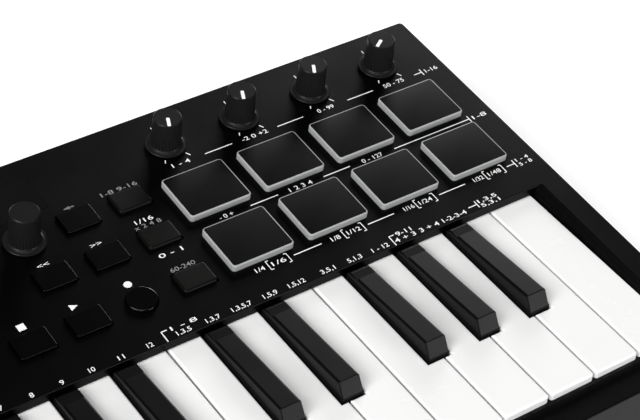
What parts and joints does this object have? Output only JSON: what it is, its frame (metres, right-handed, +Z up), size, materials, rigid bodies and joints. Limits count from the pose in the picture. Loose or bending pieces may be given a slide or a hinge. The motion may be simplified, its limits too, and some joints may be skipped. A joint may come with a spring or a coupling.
{
  "type": "midi keyboard",
  "caption": "Compact MIDI keyboard controller with a sloped panel of pads, knobs and buttons above mini piano keys.",
  "frame": {"origin": "on the surface that the feet stand on, under the middle of the case", "axes": "+X right along the keys, +Y to the rear edge, +Z up"},
  "size_m": [0.314, 0.191, 0.0554],
  "materials": {
    "case": "satin black moulded plastic with a fine grain",
    "white_keys": "semi-gloss white",
    "black_keys": "satin black",
    "pad_rubber": "matte black face in a milky translucent rim",
    "knob": "satin black with ribs and a white pointer",
    "button": "satin black",
    "soft_button": "matte brownish black",
    "record_button": "glossy black",
    "wheel": "matte black",
    "display": "glossy black",
    "feet": "matte black",
    "steel": "dark zinc",
    "socket": "black moulding",
    "inner_plastic": "natural grey",
    "board": "green laminate",
    "contact_rubber": "grey silicone"
  },
  "bodies": {
    "case": {"top_case": "case", "bottom_case": "case", "rubber_feet": "feet", "case_screws": "steel", "key_frame": "inner_plastic", "circuit_boards": "board", "contact_strips": "contact_rubber", "potentiometers": "inner_plastic", "rear_sockets": "socket", "display_window": "display"},
    "white_key_01": {"white_key_01": "white_keys"},
    "white_key_02": {"white_key_02": "white_keys"},
    "white_key_03": {"white_key_03": "white_keys"},
    "white_key_04": {"white_key_04": "white_keys"},
    "white_key_05": {"white_key_05": "white_keys"},
    "white_key_06": {"white_key_06": "white_keys"},
    "white_key_07": {"white_key_07": "white_keys"},
    "white_key_08": {"white_key_08": "white_keys"},
    "white_key_09": {"white_key_09": "white_keys"},
    "white_key_10": {"white_key_10": "white_keys"},
    "white_key_11": {"white_key_11": "white_keys"},
    "white_key_12": {"white_key_12": "white_keys"},
    "white_key_13": {"white_key_13": "white_keys"},
    "white_key_14": {"white_key_14": "white_keys"},
    "white_key_15": {"white_key_15": "white_keys"},
    "black_key_01": {"black_key_01": "black_keys"},
    "black_key_02": {"black_key_02": "black_keys"},
    "black_key_03": {"black_key_03": "black_keys"},
    "black_key_04": {"black_key_04": "black_keys"},
    "black_key_05": {"black_key_05": "black_keys"},
    "black_key_06": {"black_key_06": "black_keys"},
    "black_key_07": {"black_key_07": "black_keys"},
    "black_key_08": {"black_key_08": "black_keys"},
    "black_key_09": {"black_key_09": "black_keys"},
    "black_key_10": {"black_key_10": "black_keys"},
    "pad_1": {"pad_1": "pad_rubber"},
    "pad_2": {"pad_2": "pad_rubber"},
    "pad_3": {"pad_3": "pad_rubber"},
    "pad_4": {"pad_4": "pad_rubber"},
    "pad_5": {"pad_5": "pad_rubber"},
    "pad_6": {"pad_6": "pad_rubber"},
    "pad_7": {"pad_7": "pad_rubber"},
    "pad_8": {"pad_8": "pad_rubber"},
    "back_button": {"back_button": "button"},
    "pad_bank_button": {"pad_bank_button": "soft_button"},
    "rewind_button": {"rewind_button": "button"},
    "forward_button": {"forward_button": "button"},
    "note_repeat_button": {"note_repeat_button": "soft_button"},
    "stop_button": {"stop_button": "button"},
    "play_button": {"play_button": "button"},
    "record_button": {"record_button": "record_button"},
    "tempo_button": {"tempo_button": "soft_button"},
    "knob_1": {"knob_1": "knob"},
    "knob_2": {"knob_2": "knob"},
    "knob_3": {"knob_3": "knob"},
    "knob_4": {"knob_4": "knob"},
    "encoder_knob": {"encoder_knob": "knob"},
    "pitch_wheel": {"pitch_wheel": "wheel"},
    "modulation_wheel": {"modulation_wheel": "wheel"},
    "octave_rocker": {"octave_rocker": "button"}
  },
  "joints": [
    {"name": "white_key_01_press", "type": "hinge", "parent": "case", "child": "white_key_01", "pos_m": [0, 0.02875, 0.0273], "axis": [1, 0, 0], "range_deg": [0, 1.7], "stiffness_Nm_per_rad": 1.2, "springref_deg": -2.86},
    {"name": "white_key_02_press", "type": "hinge", "parent": "case", "child": "white_key_02", "pos_m": [0, 0.02875, 0.0273], "axis": [1, 0, 0], "range_deg": [0, 1.7], "stiffness_Nm_per_rad": 1.2, "springref_deg": -2.86},
    {"name": "white_key_03_press", "type": "hinge", "parent": "case", "child": "white_key_03", "pos_m": [0, 0.02875, 0.0273], "axis": [1, 0, 0], "range_deg": [0, 1.7], "stiffness_Nm_per_rad": 1.2, "springref_deg": -2.86},
    {"name": "white_key_04_press", "type": "hinge", "parent": "case", "child": "white_key_04", "pos_m": [0, 0.02875, 0.0273], "axis": [1, 0, 0], "range_deg": [0, 1.7], "stiffness_Nm_per_rad": 1.2, "springref_deg": -2.86},
    {"name": "white_key_05_press", "type": "hinge", "parent": "case", "child": "white_key_05", "pos_m": [0, 0.02875, 0.0273], "axis": [1, 0, 0], "range_deg": [0, 1.7], "stiffness_Nm_per_rad": 1.2, "springref_deg": -2.86},
    {"name": "white_key_06_press", "type": "hinge", "parent": "case", "child": "white_key_06", "pos_m": [0, 0.02875, 0.0273], "axis": [1, 0, 0], "range_deg": [0, 1.7], "stiffness_Nm_per_rad": 1.2, "springref_deg": -2.86},
    {"name": "white_key_07_press", "type": "hinge", "parent": "case", "child": "white_key_07", "pos_m": [0, 0.02875, 0.0273], "axis": [1, 0, 0], "range_deg": [0, 1.7], "stiffness_Nm_per_rad": 1.2, "springref_deg": -2.86},
    {"name": "white_key_08_press", "type": "hinge", "parent": "case", "child": "white_key_08", "pos_m": [0, 0.02875, 0.0273], "axis": [1, 0, 0], "range_deg": [0, 1.7], "stiffness_Nm_per_rad": 1.2, "springref_deg": -2.86},
    {"name": "white_key_09_press", "type": "hinge", "parent": "case", "child": "white_key_09", "pos_m": [0, 0.02875, 0.0273], "axis": [1, 0, 0], "range_deg": [0, 1.7], "stiffness_Nm_per_rad": 1.2, "springref_deg": -2.86},
    {"name": "white_key_10_press", "type": "hinge", "parent": "case", "child": "white_key_10", "pos_m": [0, 0.02875, 0.0273], "axis": [1, 0, 0], "range_deg": [0, 1.7], "stiffness_Nm_per_rad": 1.2, "springref_deg": -2.86},
    {"name": "white_key_11_press", "type": "hinge", "parent": "case", "child": "white_key_11", "pos_m": [0, 0.02875, 0.0273], "axis": [1, 0, 0], "range_deg": [0, 1.7], "stiffness_Nm_per_rad": 1.2, "springref_deg": -2.86},
    {"name": "white_key_12_press", "type": "hinge", "parent": "case", "child": "white_key_12", "pos_m": [0, 0.02875, 0.0273], "axis": [1, 0, 0], "range_deg": [0, 1.7], "stiffness_Nm_per_rad": 1.2, "springref_deg": -2.86},
    {"name": "white_key_13_press", "type": "hinge", "parent": "case", "child": "white_key_13", "pos_m": [0, 0.02875, 0.0273], "axis": [1, 0, 0], "range_deg": [0, 1.7], "stiffness_Nm_per_rad": 1.2, "springref_deg": -2.86},
    {"name": "white_key_14_press", "type": "hinge", "parent": "case", "child": "white_key_14", "pos_m": [0, 0.02875, 0.0273], "axis": [1, 0, 0], "range_deg": [0, 1.7], "stiffness_Nm_per_rad": 1.2, "springref_deg": -2.86},
    {"name": "white_key_15_press", "type": "hinge", "parent": "case", "child": "white_key_15", "pos_m": [0, 0.02875, 0.0273], "axis": [1, 0, 0], "range_deg": [0, 1.7], "stiffness_Nm_per_rad": 1.2, "springref_deg": -2.86},
    {"name": "black_key_01_press", "type": "hinge", "parent": "case", "child": "black_key_01", "pos_m": [0, 0.02875, 0.0273], "axis": [1, 0, 0], "range_deg": [0, 1.7], "stiffness_Nm_per_rad": 1.2, "springref_deg": -2.86},
    {"name": "black_key_02_press", "type": "hinge", "parent": "case", "child": "black_key_02", "pos_m": [0, 0.02875, 0.0273], "axis": [1, 0, 0], "range_deg": [0, 1.7], "stiffness_Nm_per_rad": 1.2, "springref_deg": -2.86},
    {"name": "black_key_03_press", "type": "hinge", "parent": "case", "child": "black_key_03", "pos_m": [0, 0.02875, 0.0273], "axis": [1, 0, 0], "range_deg": [0, 1.7], "stiffness_Nm_per_rad": 1.2, "springref_deg": -2.86},
    {"name": "black_key_04_press", "type": "hinge", "parent": "case", "child": "black_key_04", "pos_m": [0, 0.02875, 0.0273], "axis": [1, 0, 0], "range_deg": [0, 1.7], "stiffness_Nm_per_rad": 1.2, "springref_deg": -2.86},
    {"name": "black_key_05_press", "type": "hinge", "parent": "case", "child": "black_key_05", "pos_m": [0, 0.02875, 0.0273], "axis": [1, 0, 0], "range_deg": [0, 1.7], "stiffness_Nm_per_rad": 1.2, "springref_deg": -2.86},
    {"name": "black_key_06_press", "type": "hinge", "parent": "case", "child": "black_key_06", "pos_m": [0, 0.02875, 0.0273], "axis": [1, 0, 0], "range_deg": [0, 1.7], "stiffness_Nm_per_rad": 1.2, "springref_deg": -2.86},
    {"name": "black_key_07_press", "type": "hinge", "parent": "case", "child": "black_key_07", "pos_m": [0, 0.02875, 0.0273], "axis": [1, 0, 0], "range_deg": [0, 1.7], "stiffness_Nm_per_rad": 1.2, "springref_deg": -2.86},
    {"name": "black_key_08_press", "type": "hinge", "parent": "case", "child": "black_key_08", "pos_m": [0, 0.02875, 0.0273], "axis": [1, 0, 0], "range_deg": [0, 1.7], "stiffness_Nm_per_rad": 1.2, "springref_deg": -2.86},
    {"name": "black_key_09_press", "type": "hinge", "parent": "case", "child": "black_key_09", "pos_m": [0, 0.02875, 0.0273], "axis": [1, 0, 0], "range_deg": [0, 1.7], "stiffness_Nm_per_rad": 1.2, "springref_deg": -2.86},
    {"name": "black_key_10_press", "type": "hinge", "parent": "case", "child": "black_key_10", "pos_m": [0, 0.02875, 0.0273], "axis": [1, 0, 0], "range_deg": [0, 1.7], "stiffness_Nm_per_rad": 1.2, "springref_deg": -2.86},
    {"name": "pad_1_press", "type": "slide", "parent": "case", "child": "pad_1", "axis": [0, 0.057, -0.9984], "range_m": [0, 0.0006], "stiffness_N_per_m": 4000, "springref_m": -0.0003},
    {"name": "pad_2_press", "type": "slide", "parent": "case", "child": "pad_2", "axis": [0, 0.057, -0.9984], "range_m": [0, 0.0006], "stiffness_N_per_m": 4000, "springref_m": -0.0003},
    {"name": "pad_3_press", "type": "slide", "parent": "case", "child": "pad_3", "axis": [0, 0.057, -0.9984], "range_m": [0, 0.0006], "stiffness_N_per_m": 4000, "springref_m": -0.0003},
    {"name": "pad_4_press", "type": "slide", "parent": "case", "child": "pad_4", "axis": [0, 0.057, -0.9984], "range_m": [0, 0.0006], "stiffness_N_per_m": 4000, "springref_m": -0.0003},
    {"name": "pad_5_press", "type": "slide", "parent": "case", "child": "pad_5", "axis": [0, 0.057, -0.9984], "range_m": [0, 0.0006], "stiffness_N_per_m": 4000, "springref_m": -0.0003},
    {"name": "pad_6_press", "type": "slide", "parent": "case", "child": "pad_6", "axis": [0, 0.057, -0.9984], "range_m": [0, 0.0006], "stiffness_N_per_m": 4000, "springref_m": -0.0003},
    {"name": "pad_7_press", "type": "slide", "parent": "case", "child": "pad_7", "axis": [0, 0.057, -0.9984], "range_m": [0, 0.0006], "stiffness_N_per_m": 4000, "springref_m": -0.0003},
    {"name": "pad_8_press", "type": "slide", "parent": "case", "child": "pad_8", "axis": [0, 0.057, -0.9984], "range_m": [0, 0.0006], "stiffness_N_per_m": 4000, "springref_m": -0.0003},
    {"name": "back_button_press", "type": "slide", "parent": "case", "child": "back_button", "axis": [0, 0.057, -0.9984], "range_m": [0, 0.0008], "stiffness_N_per_m": 1500, "springref_m": -0.0004},
    {"name": "pad_bank_button_press", "type": "slide", "parent": "case", "child": "pad_bank_button", "axis": [0, 0.057, -0.9984], "range_m": [0, 0.0008], "stiffness_N_per_m": 1500, "springref_m": -0.0004},
    {"name": "rewind_button_press", "type": "slide", "parent": "case", "child": "rewind_button", "axis": [0, 0.057, -0.9984], "range_m": [0, 0.0008], "stiffness_N_per_m": 1500, "springref_m": -0.0004},
    {"name": "forward_button_press", "type": "slide", "parent": "case", "child": "forward_button", "axis": [0, 0.057, -0.9984], "range_m": [0, 0.0008], "stiffness_N_per_m": 1500, "springref_m": -0.0004},
    {"name": "note_repeat_button_press", "type": "slide", "parent": "case", "child": "note_repeat_button", "axis": [0, 0.057, -0.9984], "range_m": [0, 0.0008], "stiffness_N_per_m": 1500, "springref_m": -0.0004},
    {"name": "stop_button_press", "type": "slide", "parent": "case", "child": "stop_button", "axis": [0, 0.057, -0.9984], "range_m": [0, 0.0008], "stiffness_N_per_m": 1500, "springref_m": -0.0004},
    {"name": "play_button_press", "type": "slide", "parent": "case", "child": "play_button", "axis": [0, 0.057, -0.9984], "range_m": [0, 0.0008], "stiffness_N_per_m": 1500, "springref_m": -0.0004},
    {"name": "record_button_press", "type": "slide", "parent": "case", "child": "record_button", "axis": [0, 0.057, -0.9984], "range_m": [0, 0.0008], "stiffness_N_per_m": 1500, "springref_m": -0.0004},
    {"name": "tempo_button_press", "type": "slide", "parent": "case", "child": "tempo_button", "axis": [0, 0.057, -0.9984], "range_m": [0, 0.0008], "stiffness_N_per_m": 1500, "springref_m": -0.0004},
    {"name": "knob_1_turn", "type": "hinge", "parent": "case", "child": "knob_1", "pos_m": [0.03835, 0.07767, 0.04152], "axis": [0, -0.057, 0.9984], "range_deg": [-300, 0]},
    {"name": "knob_2_turn", "type": "hinge", "parent": "case", "child": "knob_2", "pos_m": [0.06959, 0.07767, 0.04152], "axis": [0, -0.057, 0.9984], "range_deg": [-299, 1]},
    {"name": "knob_3_turn", "type": "hinge", "parent": "case", "child": "knob_3", "pos_m": [0.10083, 0.07767, 0.04152], "axis": [0, -0.057, 0.9984], "range_deg": [-295, 5]},
    {"name": "knob_4_turn", "type": "hinge", "parent": "case", "child": "knob_4", "pos_m": [0.13207, 0.07767, 0.04152], "axis": [0, -0.057, 0.9984], "range_deg": [-267, 33]},
    {"name": "encoder_turn", "type": "hinge", "parent": "case", "child": "encoder_knob", "pos_m": [-0.02845, 0.0586, 0.04043], "axis": [0, -0.057, 0.9984], "continuous": true},
    {"name": "pitch_wheel_turn", "type": "hinge", "parent": "case", "child": "pitch_wheel", "pos_m": [-0.12205, 0.0587, 0.02992], "axis": [-1, 0, 0], "range_deg": [-40, 40], "stiffness_Nm_per_rad": 0.12},
    {"name": "modulation_wheel_turn", "type": "hinge", "parent": "case", "child": "modulation_wheel", "pos_m": [-0.09205, 0.0587, 0.02992], "axis": [-1, 0, 0], "range_deg": [0, 80]},
    {"name": "octave_rocker_tilt", "type": "hinge", "parent": "case", "child": "octave_rocker", "pos_m": [-0.10705, 0.02036, 0.03474], "axis": [0, 0.9984, 0.057], "range_deg": [-2.5, 2.5], "stiffness_Nm_per_rad": 0.4}
  ]
}
